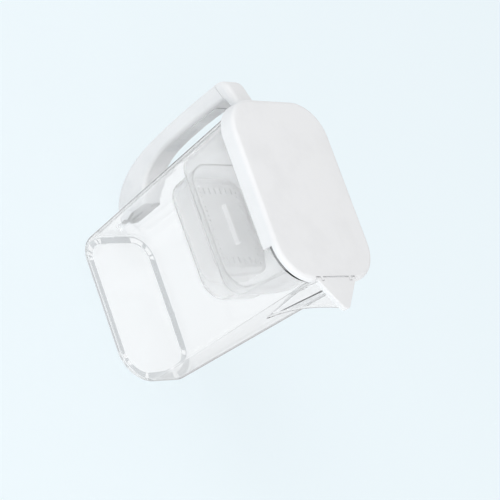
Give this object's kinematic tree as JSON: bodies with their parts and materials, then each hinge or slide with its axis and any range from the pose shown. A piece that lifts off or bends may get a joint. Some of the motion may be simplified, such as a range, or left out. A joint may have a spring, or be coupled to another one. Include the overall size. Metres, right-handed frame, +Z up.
{
  "type": "water filter pitcher",
  "caption": "Clear water filter pitcher with a tapered jug, pulled beak, white loop handle, lift-off lid with a hinged spout flap, and a hanging hopper with a filter cartridge.",
  "frame": {"origin": "on the table, under the middle of the overall length and width", "axes": "+X out of the spout, +Z up, +Y to the left of someone who looks along +X"},
  "size_m": [0.274, 0.1398, 0.262],
  "materials": {
    "clear_plastic": "clear, polished",
    "frosted_plastic": "milky, translucent",
    "white_plastic": "white, satin",
    "white_matte": "white, matt",
    "soft_grip": "soft pale grey",
    "silicone": "pale grey, soft",
    "steel": "drawn wire",
    "felt": "pressed fibre",
    "mesh": "fine woven screen",
    "carbon": "black granules",
    "resin": "amber beads"
  },
  "bodies": {
    "pitcher": {"jug": "clear_plastic", "handle_grip": "white_plastic", "handle_insert": "soft_grip", "handle_cap": "white_plastic"},
    "hopper": {"hopper": "frosted_plastic"},
    "lid": {"lid_cover": "white_plastic", "lid_liner": "white_matte", "lid_seal": "silicone", "flap_hinge_pin": "steel"},
    "flap": {"spout_flap": "white_plastic"},
    "cartridge": {"cartridge_cup": "white_matte", "cartridge_cap": "white_matte", "cartridge_seal": "silicone", "inlet_screen": "mesh", "outlet_screen": "mesh", "top_pad": "felt", "carbon_bed": "carbon", "middle_pad": "felt", "resin_bed": "resin", "bottom_pad": "felt"}
  },
  "joints": [
    {"name": "hopper_lift", "type": "slide", "parent": "pitcher", "child": "hopper", "axis": [0, 0, 1], "range_m": [0, 0.135]},
    {"name": "lid_lift", "type": "slide", "parent": "hopper", "child": "lid", "axis": [0, 0, 1], "range_m": [0, 0.05]},
    {"name": "cartridge_lift", "type": "slide", "parent": "hopper", "child": "cartridge", "axis": [0, 0, 1], "range_m": [0, 0.06]},
    {"name": "flap_swing", "type": "hinge", "parent": "lid", "child": "flap", "pos_m": [0.1045, 0, 0.2598], "axis": [0, -1, 0], "range_deg": [0, 80]}
  ]
}
